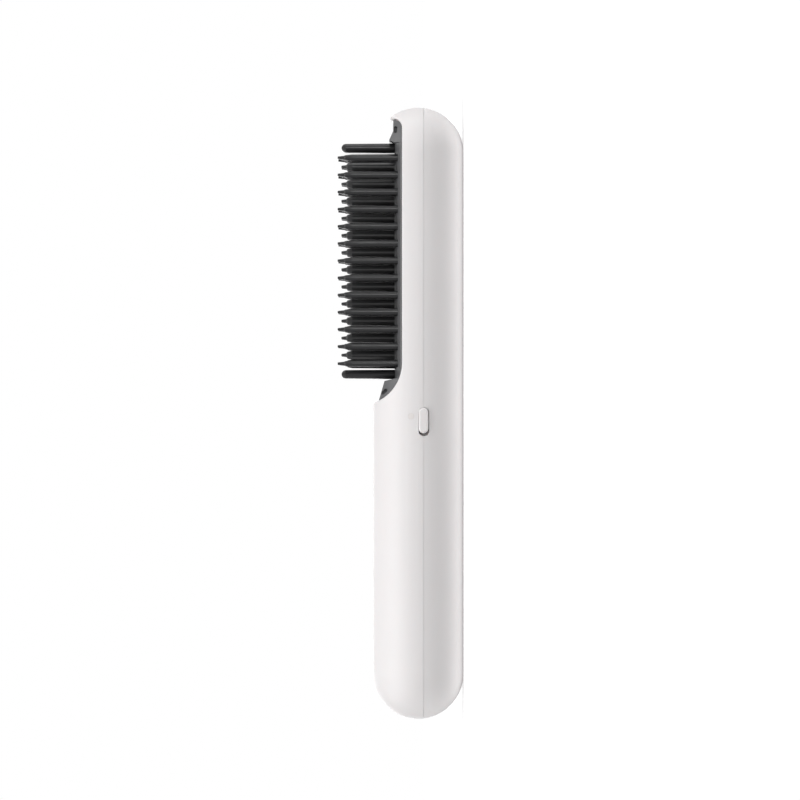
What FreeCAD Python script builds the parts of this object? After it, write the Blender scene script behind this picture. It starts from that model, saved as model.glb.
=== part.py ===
"""Cordless hair straightener: a white casing in two halves, with a heated comb set into its head.

It lies on its flat back with the teeth up. X runs along the casing, from the tail with its charging
socket to the head. Y runs across it, with the power button on the -Y side. Z points up through the
teeth. The origin is the middle of the back. All sizes are in millimetres.
"""

import FreeCAD, Part
import math
import os

import Sketcher

SIZES = {
    # Casing: two moulded halves with a full round along each side
    "wall": 2.0,
    "flat_width": 7.6,  # flat strip between the two round sides
    "seam_drop": 1.7,  # the seam lies this far behind the middle of the casing
    "lip_height": 2.2,
    "lip_thickness": 0.9,
    "seam_gap": 0.06,  # the fine line that shows all along the seam
    "fit_gap": 0.1,  # between fixed pieces that fit into each other
    "sharp_angle": 0.3,  # in radians, the least turn of an edge that gets rounded
    "rim_round": 0.6,
    # What adds up to the casing's length, from tail to head
    "tail_space": 14.8,
    "battery_length": 70.2,
    "board_gap": 3.0,
    "board_length": 25.0,
    "bay_gap": 4.78,
    "nose_length": 15.34,
    # What adds up to the casing's depth
    "battery_diameter": 21.2,
    "cradle_wall": 1.6,
    "cradle_gap": 1.0,
    # Comb bay: the cut in the head, with a round heel towards the handle and a round toe
    "bay_depth": 9.7,
    "heel_inset": 2.12,
    "heel_radius": 14.2,
    "toe_reach": 7.96,
    "toe_radius": 3.2,
    "bay_window_edge": 1.3,
    # Comb frame: the grey moulding in the bay
    "frame_thickness": 2.5,
    "frame_inset": 0.3,
    "crown_radius": 80.0,
    "lip_offset": 0.65,
    "lip_slope": 0.8,
    "heel_lip": 5.9,
    "heel_rise": 2.9,
    "toe_lip": 4.3,
    "toe_dip": 3.0,
    "toe_tip": 2.9,
    "toe_flat": 1.0,
    "catch_length": 2.4,
    "catch_width": 1.1,
    "catch_depth": 2.2,
    "catch_drop": 0.8,
    # Teeth
    "tooth_count": 13,
    "tooth_pitch": 5.76,
    "column_pitch": 5.8,
    "guard_tooth_thickness": 2.5,
    "heating_tooth_thickness": 3.3,
    "tooth_breadth": 3.8,
    "tooth_draft": 0.3,
    "guard_tip_length": 4.6,
    "heating_tip_length": 3.6,
    "shoulder_share": 0.56,
    "shoulder_fullness": 0.78,
    "nub_share": 0.46,
    "nub_thickness": 1.3,
    "nub_breadth": 2.4,
    "tip_thickness": 0.8,
    "tip_breadth": 1.8,
    "heating_tooth_height": 17.9,
    "guard_tooth_height": 20.6,
    "heating_tooth_sink": 0.8,
    "guard_tooth_sink": 1.5,
    "end_guard_gap": 1.7,
    "end_guard_thickness": 3.2,
    "end_guard_breadth": 9.0,
    "end_guard_sink": 0.6,
    "end_guard_tip": 1.4,
    # Heating plate and what lies under it
    "plate_thickness": 1.8,
    "plate_margin": 1.88,
    "plate_edge": 1.5,
    "plate_corner": 3.0,
    "plate_ledge": 1.4,
    "stud_radius": 2.2,
    "stud_edge": 4.5,
    "stud_height": 2.0,
    "heater_thickness": 1.6,
    "heater_width": 10.5,
    "heater_clearance": 1.2,
    "mica_thickness": 0.4,
    "clamp_thickness": 0.8,
    "clamp_width": 9.6,
    "sensor_length": 4.0,
    "sensor_width": 2.0,
    "sensor_height": 1.4,
    "fuse_radius": 1.0,
    "fuse_length": 9.0,
    "shield_margin": 2.0,
    "shield_depth": 5.0,
    "shield_wall": 0.8,
    "shield_overlap": 1.1,
    "shield_rib": 2.0,
    "shield_rib_inset": 18.0,
    # Screws, bosses and posts
    "screw_radius": 1.0,
    "screw_head_radius": 1.9,
    "screw_head_height": 1.1,
    "screw_clearance": 0.1,
    "boss_radius": 2.2,
    "shell_screw_length": 10.0,
    "shell_screw_seat": 1.6,
    "shell_screw_inset": 8.0,
    "boss_gap": 0.2,
    "frame_screw_length": 5.0,
    "frame_screw_inset": 5.0,
    "board_screw_length": 4.0,
    "board_screw_inset": 2.5,
    "clamp_screw_length": 2.4,
    # Inner frame, battery contacts and pad
    "cradle_end_wall": 1.6,
    "contact_thickness": 0.5,
    "contact_width": 9.0,
    "contact_height": 12.0,
    "foot_length": 8.0,
    "foot_width": 6.0,
    "foot_inset": 5.0,
    "deck_thickness": 1.4,
    "standoff_height": 1.4,
    "standoff_radius": 2.0,
    "pad_inset": 10.0,
    "pad_width": 7.0,
    "pad_clearance": 0.1,
    # Main board and its parts
    "board_thickness": 1.6,
    "button_offset": 12.6,
    "switch_length": 6.0,
    "switch_depth": 3.5,
    "switch_height": 3.5,
    "plunger_radius": 1.2,
    "plunger_reach": 1.2,
    "plunger_sink": 1.0,
    "plunger_bore": 2.0,
    "chip_size": 7.0,
    "chip_height": 1.0,
    "transistor_length": 4.0,
    "transistor_width": 3.5,
    "transistor_height": 1.0,
    "inductor_size": 6.0,
    "inductor_height": 3.5,
    "capacitor_radius": 2.0,
    "capacitor_height": 5.0,
    "connector_length": 4.5,
    "connector_width": 8.0,
    "connector_height": 3.5,
    "part_spacing": 1.0,
    # Power button and indicator
    "button_length": 8.5,
    "button_width": 3.2,
    "button_proud": 0.9,
    "button_round": 0.6,
    "button_gap": 0.1,
    "button_relief": 0.9,
    "button_side_relief": 0.2,
    "button_travel": 0.5,
    "flange_margin": 1.1,
    "flange_thickness": 1.0,
    "stem_length": 0.8,
    "stem_gap": 0.05,
    "slide_gap": 0.2,
    "light_radius": 1.0,
    "light_offset": 1.4,
    "light_height": 4.2,
    "led_length": 1.6,
    "led_height": 0.8,
    # Charging socket
    "socket_width": 8.94,
    "socket_height": 3.26,
    "socket_length": 7.35,
    "socket_inset": 0.5,
    "socket_wall": 0.3,
    "socket_gap": 0.25,
    "tongue_width": 6.7,
    "tongue_thickness": 0.7,
    "tongue_length": 4.6,
    "tongue_base": 1.4,
    "charge_board_thickness": 1.0,
    "charge_board_width": 12.0,
    "charge_board_inset": 4.6,
    "shelf_thickness": 1.6,
    # Leads
    "lead_radius": 0.7,
    "sensor_lead_radius": 0.35,
    "lead_bend": 3.0,
    "lead_side_room": 3.7,
}

doc = FreeCAD.newDocument("hair_straightener")
dims = doc.addObject("Spreadsheet::Sheet", "dims")
for row, (alias, value) in enumerate(SIZES.items(), start=1):
    dims.set(f"A{row}", alias)
    dims.set(f"B{row}", str(value))
    dims.setAlias(f"B{row}", alias)
doc.recompute()

# Places and sizes that follow from the sheet, in the order in which they build on each other
PLACES = {
    "depth": "dims.battery_diameter + 2 * (dims.wall + dims.cradle_wall + dims.cradle_gap)",
    "half_depth": "depth / 2",
    "width": "depth + dims.flat_width",
    "plate_length": "(dims.tooth_count - 1) * dims.tooth_pitch + 2 * dims.plate_margin",
    "plate_width": "2 * dims.column_pitch + dims.tooth_breadth + 2 * dims.plate_edge",
    "handle_length": "dims.tail_space + dims.battery_length + dims.board_gap + dims.board_length",
    "length": "handle_length + dims.bay_gap + plate_length + dims.nose_length",
    "half_length": "length / 2",
    "tail": "-length / 2",
    "battery_start": "tail + dims.tail_space",
    "battery_end": "battery_start + dims.battery_length",
    "cradle_start": "battery_start - dims.contact_thickness - dims.cradle_end_wall",
    "cradle_end": "battery_end + dims.contact_thickness + dims.cradle_end_wall",
    "board_start": "battery_end + dims.board_gap",
    "board_end": "board_start + dims.board_length",
    "plate_start": "board_end + dims.bay_gap",
    "plate_end": "plate_start + plate_length",
    "comb_mid": "plate_start + plate_length / 2",
    "heel": "plate_start + dims.heel_inset",
    "toe": "plate_end + dims.toe_reach",
    "seam": "half_depth - dims.seam_drop",
    "bay_floor": "depth - dims.bay_depth",
    "bay_underside": "bay_floor - dims.wall",
    "frame_top": "bay_floor + dims.frame_thickness",
    "plate_bottom": "frame_top - dims.plate_thickness",
    "guard_column": "2 * dims.column_pitch",
    "guard_spread": "plate_length / 2 + dims.end_guard_gap",
    "lip_spread": "guard_spread + dims.end_guard_thickness / 2 + dims.lip_offset",
    "stud_spread": "plate_length / 2 - dims.stud_edge",
    "heater_half": "stud_spread - dims.stud_radius - dims.heater_clearance",
    "clamp_half": "stud_spread + dims.stud_radius",
    "mica_bottom": "plate_bottom - dims.heater_thickness - dims.mica_thickness",
    "clamp_bottom": "mica_bottom - dims.clamp_thickness",
    "window_half": "plate_width / 2 + dims.bay_window_edge",
    "shield_half": "window_half + dims.shield_overlap",
    "shield_spread": "plate_length / 2 + dims.shield_margin",
    "shield_bottom": "bay_underside - dims.shield_depth",
    "shell_screw_y": "shield_half + dims.boss_gap + dims.boss_radius",
    "shell_screw_seat": "bay_floor - dims.shell_screw_seat",
    "button_x": "board_start + dims.button_offset",
    "side": "dims.flat_width / 2 + sqrt(half_depth^2 - dims.seam_drop^2)",
    "flange_height": "dims.button_width + 2 * dims.flange_margin",
    "flange_drop": "dims.seam_drop + flange_height / 2",
    "flange_y": "dims.flat_width / 2 + sqrt((half_depth - dims.wall)^2 - flange_drop^2) - dims.slide_gap",
    "stem_y": "flange_y - dims.flange_thickness - dims.stem_length",
    "plunger_y": "stem_y - dims.stem_gap",
    "board_half": "plunger_y - dims.plunger_reach",
    "board_top": "seam - dims.switch_height / 2",
    "board_bottom": "board_top - dims.board_thickness",
    "deck_top": "board_bottom - dims.standoff_height",
    "deck_bottom": "deck_top - dims.deck_thickness",
    "standoff_y": "board_half - dims.board_screw_inset",
    "light_x": "button_x + dims.light_offset",
    "light_z": "seam + dims.light_height",
    "light_y": "board_half - dims.switch_depth - dims.light_radius - dims.part_spacing",
    "socket_start": "tail + dims.socket_inset",
    "socket_bottom": "seam - dims.socket_height / 2",
    "charge_board_bottom": "socket_bottom - dims.charge_board_thickness",
    "lead_side": "width / 2 - dims.wall - dims.lead_side_room",
    "lead_level": "half_depth + 2 * dims.lead_radius",
    "heater_sensor_x": "comb_mid - dims.fuse_length",
    "plug_row": "board_start + dims.board_screw_inset + dims.screw_head_radius + dims.fit_gap",
    "chip_x": "plug_row + dims.connector_length + dims.part_spacing",
}
place = doc.addObject("App::VarSet", "place")
for name, expression in PLACES.items():
    place.addProperty("App::PropertyFloat", name)
    place.setExpression(name, expression)
doc.recompute()

AXES = {
    "x": FreeCAD.Rotation(FreeCAD.Vector(0, 0, 1), FreeCAD.Vector(1, 0, 0)),
    "y": FreeCAD.Rotation(FreeCAD.Vector(0, 0, 1), FreeCAD.Vector(0, 1, 0)),
    "z": FreeCAD.Rotation(),
}
ROUND_SHARES = (1, 0.75, 0.5, 0.25)  # of a rounding's radius, for sizes where all of it won't fit
UPSIDE_DOWN = FreeCAD.Rotation(FreeCAD.Vector(1, 0, 0), 180)
SIDES = {"left": -1, "right": 1}
nodes = []


# Helpers for sketches and features


def number(expression):
    """The value of an expression on the sheet and the places."""
    return float(place.evalExpression(expression))


def keep(item):
    """Adds a finished sub-part to the list that is written out."""
    nodes.append(item)
    return item


def sketch_on(body, name, plane, shift="0", along="0", up="0", angle=0):
    """An empty sketch on one of the body's own planes, moved along the plane's normal and in it."""
    sketch = body.newObject("Sketcher::SketchObject", name)
    support = next(item for item in body.Origin.OriginFeatures if item.Role == plane)
    sketch.AttachmentSupport = (support, [""])
    sketch.MapMode = "FlatFace"
    turn = FreeCAD.Rotation(FreeCAD.Vector(0, 0, 1), angle)
    sketch.AttachmentOffset = FreeCAD.Placement(FreeCAD.Vector(), turn)
    for axis, expression in zip("xyz", (along, up, shift)):
        sketch.setExpression(f"AttachmentOffset.Base.{axis}", expression)
    return sketch


def hold(sketch, kind, edge, point, expression):
    """Ties one coordinate of a sketch point to an expression."""
    constraint = Sketcher.Constraint(kind, -1, 1, edge, point, number(expression))
    index = sketch.addConstraint(constraint)
    sketch.setExpression(f"Constraints[{index}]", expression)


def arc_between(start, end, centre, turn):
    """The arc from start to end about centre, anticlockwise where turn is 1."""
    first, last = (start, end) if turn > 0 else (end, start)
    angles = [math.atan2(spot.y - centre.y, spot.x - centre.x) for spot in (first, last)]
    if angles[1] <= angles[0]:
        angles[1] += 2 * math.pi
    circle = Part.Circle(centre, FreeCAD.Vector(0, 0, 1), (start - centre).Length)
    return Part.ArcOfCircle(circle, *angles)


def outline(sketch, corners):
    """A closed outline of (x, y) corners. A corner of (x, y, centre x, centre y, turn) starts an arc."""
    spots = [FreeCAD.Vector(number(corner[0]), number(corner[1]), 0) for corner in corners]
    ends = []
    for index, corner in enumerate(corners):
        start, end = spots[index], spots[(index + 1) % len(spots)]
        if len(corner) == 2:
            sketch.addGeometry(Part.LineSegment(start, end))
            ends.append((1, 2))
        else:
            centre = FreeCAD.Vector(number(corner[2]), number(corner[3]), 0)
            sketch.addGeometry(arc_between(start, end, centre, corner[4]))
            ends.append((1, 2) if corner[4] > 0 else (2, 1))
    for index, corner in enumerate(corners):
        follower = (index + 1) % len(corners)
        joint = Sketcher.Constraint("Coincident", index, ends[index][1], follower, ends[follower][0])
        sketch.addConstraint(joint)
        hold(sketch, "DistanceX", index, ends[index][0], corner[0])
        hold(sketch, "DistanceY", index, ends[index][0], corner[1])
        if len(corner) > 2:
            chord = spots[follower] - spots[index]
            if abs(chord.y) > abs(chord.x):
                hold(sketch, "DistanceX", index, 3, corner[2])
            else:
                hold(sketch, "DistanceY", index, 3, corner[3])


def slot_outline(length, width):
    """An obround about the sketch's origin, long in x."""
    reach, radius = f"({length} - {width}) / 2", f"{width} / 2"
    back = f"-({reach})"
    return [
        (back, f"-({radius})"),
        (reach, f"-({radius})", reach, "0", 1),
        (reach, radius),
        (back, radius, back, "0", 1),
    ]


def round_rectangle(length, width, corner):
    """A rectangle about the sketch's origin with round corners."""
    x, y = f"({length}) / 2", f"({width}) / 2"
    inner_x, inner_y = f"({x} - {corner})", f"({y} - {corner})"
    return [
        (f"-{inner_x}", f"-({y})"),
        (inner_x, f"-({y})", inner_x, f"-{inner_y}", 1),
        (x, f"-{inner_y}"),
        (x, inner_y, inner_x, inner_y, 1),
        (inner_x, y),
        (f"-{inner_x}", y, f"-{inner_x}", inner_y, 1),
        (f"-({x})", inner_y),
        (f"-({x})", f"-{inner_y}", f"-{inner_x}", f"-{inner_y}", 1),
    ]


def pad(body, sketch, length, both_ways=False):
    """Pads a sketch along its normal, or half each way."""
    feature = body.newObject("PartDesign::Pad", sketch.Name + "_pad")
    feature.Profile = sketch
    feature.setExpression("Length", length)
    if both_ways:
        feature.SideType = "Symmetric"
    return feature


def prism(name, plane, corners, length, both_ways=False, **spot):
    """A body of its own with one padded outline."""
    body = doc.addObject("PartDesign::Body", name)
    sketch = sketch_on(body, name + "_outline", plane, **spot)
    outline(sketch, corners)
    pad(body, sketch, length, both_ways)
    return body


def turned(name, corners):
    """A body of revolution about Z from an outline in x and z."""
    body = doc.addObject("PartDesign::Body", name)
    sketch = sketch_on(body, name + "_outline", "XZ_Plane")
    outline(sketch, corners)
    feature = body.newObject("PartDesign::Revolution", name + "_turn")
    feature.Profile = sketch
    feature.ReferenceAxis = (sketch, ["V_Axis"])
    feature.Angle = 360
    return body


def box(name, x, y, z):
    """A box from (start, size) pairs of expressions."""
    item = doc.addObject("Part::Box", name)
    for size_name, axis, (start, size) in zip(("Length", "Width", "Height"), "xyz", (x, y, z)):
        item.setExpression(size_name, size)
        item.setExpression(f"Placement.Base.{axis}", start)
    return item


def rod(name, axis, start, radius, length):
    """A cylinder that starts at a point and runs along an axis."""
    item = doc.addObject("Part::Cylinder", name)
    item.Placement = FreeCAD.Placement(FreeCAD.Vector(), AXES[axis])
    item.setExpression("Radius", radius)
    item.setExpression("Height", length)
    for letter, expression in zip("xyz", start):
        item.setExpression(f"Placement.Base.{letter}", expression)
    return item


def join(name, *items):
    """One solid of several that touch."""
    item = doc.addObject("Part::MultiFuse", name)
    item.Shapes = list(items)
    item.Refine = True
    return item


def shared(name, *items):
    """What several forms have in common."""
    item = doc.addObject("Part::MultiCommon", name)
    item.Shapes = list(items)
    return item


def cut(name, base, *tools):
    """A form with one or more others taken away."""
    item = doc.addObject("Part::Cut", name)
    item.Base = base
    item.Tool = tools[0] if len(tools) == 1 else join(name + "_tools", *tools)
    item.Refine = True
    return item


def copies(name, form, spots, rotation=AXES["z"]):
    """A group of separate solids: one form at several places."""
    links = []
    for index, spot in enumerate(spots, start=1):
        link = doc.addObject("App::Link", f"{name}_{index}")
        link.LinkedObject = form
        link.Placement = FreeCAD.Placement(FreeCAD.Vector(), rotation)
        for axis, expression in zip("xyz", spot):
            link.setExpression(f"Placement.Base.{axis}", expression)
        links.append(link)
    group = doc.addObject("Part::Compound", name)
    group.Links = links
    return group


def rounded(name, base, radius, chosen):
    """A body that takes over a shape and rounds the sharp edges that a test picks, as far as they can."""
    doc.recompute()
    body = doc.addObject("PartDesign::Body", name)
    body.BaseFeature = base
    doc.recompute()
    start = body.Tip
    shape = start.Shape
    numbered = enumerate(shape.Edges, start=1)
    edges = [f"Edge{index}" for index, edge in numbered if chosen(edge) and is_sharp(shape, edge)]
    fillet = body.newObject("PartDesign::Fillet", name + "_rounding")
    fillet.Base = (start, edges)
    for share in ROUND_SHARES:
        fillet.setExpression("Radius", f"{share} * {radius}")
        doc.recompute()
        if fillet.isValid() and fillet.Shape.isValid():
            return body
    doc.removeObject(fillet.Name)
    body.Tip = start
    return body


def is_sharp(shape, edge):
    """True where the two faces at an edge meet at an angle that can be seen."""
    faces = shape.ancestorsOfType(edge, Part.Face)
    if len(faces) < 2:
        return False
    middle = edge.valueAt((edge.FirstParameter + edge.LastParameter) / 2)
    first, second = [face.normalAt(*face.Surface.parameter(middle)) for face in faces]
    return first.getAngle(second) > number("dims.sharp_angle")


def across(size):
    """The (start, size) pair of a box that is centred on the middle plane."""
    return (f"-({size}) / 2", size)


def between(start, end):
    """The (start, size) pair of a box from one place to another."""
    return (start, f"({end}) - ({start})")


# Forms of the casing and of the comb bay


def casing_form(name, inset):
    """The casing's form, moved inwards: a block with four half rounds and a ball at each corner."""
    radius, middle = f"(place.half_depth - {inset})", "place.half_depth"
    end, side = "(place.half_length - place.half_depth)", "(dims.flat_width / 2)"
    core_z = (f"{middle} - {radius}", f"2 * {radius}")
    pieces = [box(f"{name}_core", across(f"2 * {end}"), across(f"2 * {side}"), core_z)]
    for word, sign in SIDES.items():
        half_round = [("0", f"-{radius}", "0", "0", sign), ("0", radius)]
        spot = {"up": middle, "along": f"{sign} * {side}"}
        pieces.append(prism(f"{name}_{word}", "YZ_Plane", half_round, f"2 * {end}", True, **spot))
        spot = {"up": middle, "along": f"{sign} * {end}"}
        pieces.append(prism(f"{name}_end_{word}", "XZ_Plane", half_round, f"2 * {side}", True, **spot))
    for index, (x_sign, y_sign) in enumerate(((1, 1), (-1, 1), (-1, -1), (1, -1))):
        ball = doc.addObject("Part::Sphere", f"{name}_ball_{index}")
        ball.Angle3 = 90
        turn = FreeCAD.Rotation(FreeCAD.Vector(0, 0, 1), 90 * index)
        ball.Placement = FreeCAD.Placement(FreeCAD.Vector(), turn)
        ball.setExpression("Radius", radius)
        for axis, expression in zip("xyz", (f"{x_sign} * {end}", f"{y_sign} * {side}", middle)):
            ball.setExpression(f"Placement.Base.{axis}", expression)
        pieces.append(ball)
    return join(name, *pieces)


def on_casing(edge):
    """True where all of an edge lies on the casing's outside."""
    radius = number("place.half_depth")
    straight = number("place.half_length - place.half_depth")
    for point in edge.discretize(5):
        past_end = max(abs(point.x) - straight, 0)
        past_flat = max(abs(point.y) - number("dims.flat_width / 2"), 0)
        spoke = FreeCAD.Vector(past_end, past_flat, point.z - radius)
        if abs(spoke.Length - radius) > number("dims.fit_gap / 4"):
            return False
    return True


def bay_form(name, grow, floor):
    """The comb bay seen from the side, right across the casing, with its rounds larger by grow."""
    heel, toe = f"(dims.heel_radius + {grow})", f"(dims.toe_radius + {grow})"
    top = f"{floor} + 2 * {heel}"
    corners = [
        (f"place.heel - {heel}", f"{floor} + {heel}", "place.heel", f"{floor} + {heel}", 1),
        ("place.heel", floor),
        ("place.toe", floor, "place.toe", f"{floor} + {toe}", 1),
        (f"place.toe + {toe}", f"{floor} + {toe}"),
        (f"place.toe + {toe}", top),
        (f"place.heel - {heel}", top),
    ]
    return prism(name, "XZ_Plane", corners, "2 * place.width", both_ways=True)


def layer(name, bottom, top):
    """A box over the whole casing between two heights."""
    return box(name, across("2 * place.length"), across("2 * place.width"), between(bottom, top))


casing = casing_form("casing_form", "0")
bay_limit = bay_form("bay_limit", "dims.wall", "place.bay_underside")
hollow = cut("hollow", casing_form("hollow_form", "dims.wall"), bay_limit)
bay = bay_form("bay", "0", "place.bay_floor")

socket_opening = prism(
    "socket_opening",
    "YZ_Plane",
    slot_outline("(dims.socket_width + 2 * dims.socket_gap)", "(dims.socket_height + 2 * dims.socket_gap)"),
    "dims.tail_space",
    shift="place.tail - dims.wall",
    up="place.seam",
)
button_opening = prism(
    "button_opening",
    "XZ_Plane",
    slot_outline(
        "(dims.button_length + 2 * dims.button_gap + dims.button_relief)",
        "(dims.button_width + 2 * dims.button_gap + dims.button_side_relief)",
    ),
    "place.width",
    shift="place.stem_y",
    along="place.button_x - dims.button_relief / 2",
    up="place.seam - dims.button_side_relief / 2",
)
light_hole = rod(
    "light_hole",
    "y",
    ("place.light_x", "-place.width", "place.light_z"),
    "dims.light_radius + dims.fit_gap / 2",
    "place.width - place.board_half",
)
shell_screw_spots = [
    (x, f"{sign} * place.shell_screw_y")
    for x in ("place.plate_start + dims.shell_screw_inset", "place.plate_end - dims.shell_screw_inset")
    for sign in SIDES.values()
]


def front_shell():
    """The upper half of the casing, with the comb bay, its window, the screw bosses and the seam's lip."""
    upper = shared("front_half", casing, layer("above_seam", "place.seam", "2 * place.depth"))
    walls = cut("front_walls", upper, bay, hollow)
    lip_form = casing_form("lip_form", "(dims.wall - dims.lip_thickness)")
    lip_layer = layer("lip_layer", "place.seam - dims.lip_height", "place.seam")
    bosses, holes, notches = [], [], []
    for index, (x, y) in enumerate(shell_screw_spots):
        notch_at = (x, y, "place.seam - 2 * dims.lip_height")
        notch = "dims.boss_radius + dims.fit_gap"
        notches.append(rod(f"lip_notch_{index}", "z", notch_at, notch, "2 * dims.lip_height"))
        height = "place.bay_floor - place.seam"
        bosses.append(rod(f"front_boss_{index}", "z", (x, y, "place.seam"), "dims.boss_radius", height))
        bore = "dims.screw_radius + dims.screw_clearance"
        holes.append(rod(f"front_bore_{index}", "z", (x, y, "place.seam"), bore, height))
        seat = "dims.screw_head_radius + dims.screw_clearance"
        seat_at = (x, y, "place.shell_screw_seat")
        holes.append(rod(f"front_seat_{index}", "z", seat_at, seat, "dims.bay_depth"))
    window = box(
        "bay_window",
        ("place.comb_mid - place.clamp_half - dims.fit_gap", "2 * (place.clamp_half + dims.fit_gap)"),
        across("2 * place.window_half"),
        between("place.bay_underside - dims.wall", "place.bay_floor + dims.wall"),
    )
    lip = cut("seam_lip", shared("lip_slab", lip_form, lip_layer), hollow, *notches)
    solid = join("front_solid", walls, lip, *bosses)
    openings = [window, socket_opening, button_opening, light_hole]
    plain = cut("front_plain", solid, *openings, *holes)

    def on_rim(edge):
        """True for the edges where the bay comes out of the casing."""
        above = edge.BoundBox.ZMin > number("place.bay_floor - dims.fit_gap")
        ahead = edge.BoundBox.XMin > number("place.heel - 2 * dims.heel_radius")
        return above and ahead and on_casing(edge)

    return keep(rounded("front_shell", plain, "dims.rim_round", on_rim))


def rear_shell():
    """The lower half of the casing, with a groove for the lip, posts for the screws and shield ribs."""
    lower = shared("rear_half", casing, layer("below_seam", "-place.depth", "place.seam - dims.seam_gap"))
    groove_form = casing_form("groove_form", "(dims.wall - dims.lip_thickness - dims.fit_gap)")
    groove_layer = layer("groove_layer", "place.seam - dims.lip_height", "place.depth")
    groove = shared("seam_groove", groove_form, groove_layer)
    walls = cut("rear_walls", lower, hollow, groove)
    posts, holes = [], []
    pilot = "dims.screw_radius"
    for index, (x, y) in enumerate(shell_screw_spots):
        posts.append(rod(f"shell_post_{index}", "z", (x, y, "0"), "dims.boss_radius", "place.seam"))
        bottom = "place.shell_screw_seat - dims.shell_screw_length - dims.fit_gap"
        holes.append(rod(f"shell_pilot_{index}", "z", (x, y, bottom), pilot, "place.depth"))
    for index, x in enumerate(frame_screw_spots):
        height = "place.deck_bottom"
        posts.append(rod(f"frame_post_{index}", "z", (x, "0", "0"), "dims.boss_radius", height))
        bottom = "place.deck_top - dims.frame_screw_length - dims.fit_gap"
        holes.append(rod(f"frame_pilot_{index}", "z", (x, "0", bottom), pilot, "place.depth"))
    for sign in SIDES.values():
        middle = f"place.comb_mid + {sign} * dims.shield_rib_inset"
        rib_x = (f"{middle} - dims.shield_rib / 2", "dims.shield_rib")
        rib_z = ("0", "place.shield_bottom")
        posts.append(box(f"shield_rib_{sign + 1}", rib_x, across("2 * place.window_half"), rib_z))
    supports = shared("rear_supports", casing, join("rear_posts", *posts))
    solid = join("rear_solid", walls, supports)
    return keep(cut("rear_shell", solid, socket_opening, button_opening, *holes))


# Comb


def tooth_section(body, name, level, thickness, breadth):
    """One cross-section of a tooth, long across the comb."""
    sketch = sketch_on(body, name, "XY_Plane", shift=level, angle=90)
    outline(sketch, slot_outline(breadth, thickness))
    return sketch


def tooth(name, height):
    """A flat comb tooth with a slight draft and a shouldered tip with a small nub, standing on the origin."""
    body = doc.addObject("PartDesign::Body", name)
    thickness = f"dims.{name}_thickness"
    taper = f"dims.{name.split('_')[0]}_tip_length"
    slim = f"({thickness} - dims.tooth_draft)"
    slim_breadth = "(dims.tooth_breadth - dims.tooth_draft)"
    lost = f"{slim} * (1 - dims.shoulder_fullness)"
    stages = {
        "root": ("0", thickness, "dims.tooth_breadth"),
        "neck": (f"{height} - {taper}", slim, slim_breadth),
        "shoulder": (
            f"{height} - {taper} * dims.shoulder_share",
            f"({slim} - {lost})",
            f"({slim_breadth} - {lost})",
        ),
        "nub": (f"{height} - {taper} * dims.nub_share", "dims.nub_thickness", "dims.nub_breadth"),
        "tip": (height, "dims.tip_thickness", "dims.tip_breadth"),
    }
    lofted(body, [tooth_section(body, f"{name}_{stage}", *size) for stage, size in stages.items()])
    return body


def lofted(body, sections):
    """Joins the cross-sections of a tooth."""
    loft = body.newObject("PartDesign::AdditiveLoft", body.Name + "_loft")
    loft.Profile = sections[0]
    loft.Sections = sections[1:]
    loft.Ruled = True
    return loft


def tooth_row(count, y, level):
    """Places of a row of teeth along the comb, centred on it."""
    first = f"place.comb_mid - ({count} - 1) * dims.tooth_pitch / 2"
    total = round(number(count))
    return [(f"{first} + {index} * dims.tooth_pitch", y, level) for index in range(total)]


def heating_spots(level):
    """The middle column of heated teeth and the two that stand between its teeth."""
    spots = tooth_row("dims.tooth_count", "0", level)
    for sign in SIDES.values():
        spots += tooth_row("(dims.tooth_count - 1)", f"{sign} * dims.column_pitch", level)
    return spots


def guard_spots(level):
    """The outer columns of cool guard teeth."""
    spots = []
    for sign in SIDES.values():
        spots += tooth_row("dims.tooth_count", f"{sign} * place.guard_column", level)
    return spots


def end_guard_spots(level):
    """The two broad guards beyond the ends of the heating plate."""
    return [(f"place.comb_mid + {sign} * place.guard_spread", "0", level) for sign in SIDES.values()]


def tooth_pocket(name, thickness):
    """The hole that a tooth's root sits in, standing on the origin."""
    corners = slot_outline("(dims.tooth_breadth + dims.fit_gap)", f"({thickness} + dims.fit_gap)")
    return prism(name, "XY_Plane", corners, "dims.frame_thickness", angle=90)


pocket = tooth_pocket("heating_pocket", "dims.heating_tooth_thickness")
heating_level = "place.frame_top - dims.heating_tooth_sink"
guard_level = "place.frame_top - dims.guard_tooth_sink"
end_guard_level = "place.frame_top - dims.end_guard_sink"


def teeth():
    """Heated teeth, guard teeth and end guards, each a group of separate solids."""
    heating = tooth("heating_tooth", "(dims.heating_tooth_height + dims.heating_tooth_sink)")
    keep(copies("heating_teeth", heating, heating_spots(heating_level)))
    guard = tooth("guard_tooth", "dims.guard_tooth_height")
    keep(copies("guard_teeth", guard, guard_spots(guard_level)))
    body = doc.addObject("PartDesign::Body", "end_guard")
    height = "(dims.heating_tooth_height + dims.end_guard_sink)"
    breadth, thickness = "dims.end_guard_breadth", "dims.end_guard_thickness"
    slim = "(dims.end_guard_thickness - dims.tooth_draft)"
    sections = [tooth_section(body, "end_guard_root", "0", thickness, breadth)]
    for step, angle in enumerate((0, 30, 60, 80)):
        level = f"{height} - dims.end_guard_tip * (1 - sin({angle} deg))"
        lost = f"2 * dims.end_guard_tip * (1 - cos({angle} deg))"
        size = (f"({slim} - {lost})", f"({breadth} - {lost})")
        sections.append(tooth_section(body, f"end_guard_round_{step}", level, *size))
    lofted(body, sections)
    keep(copies("end_guards", body, end_guard_spots(end_guard_level)))


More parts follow.
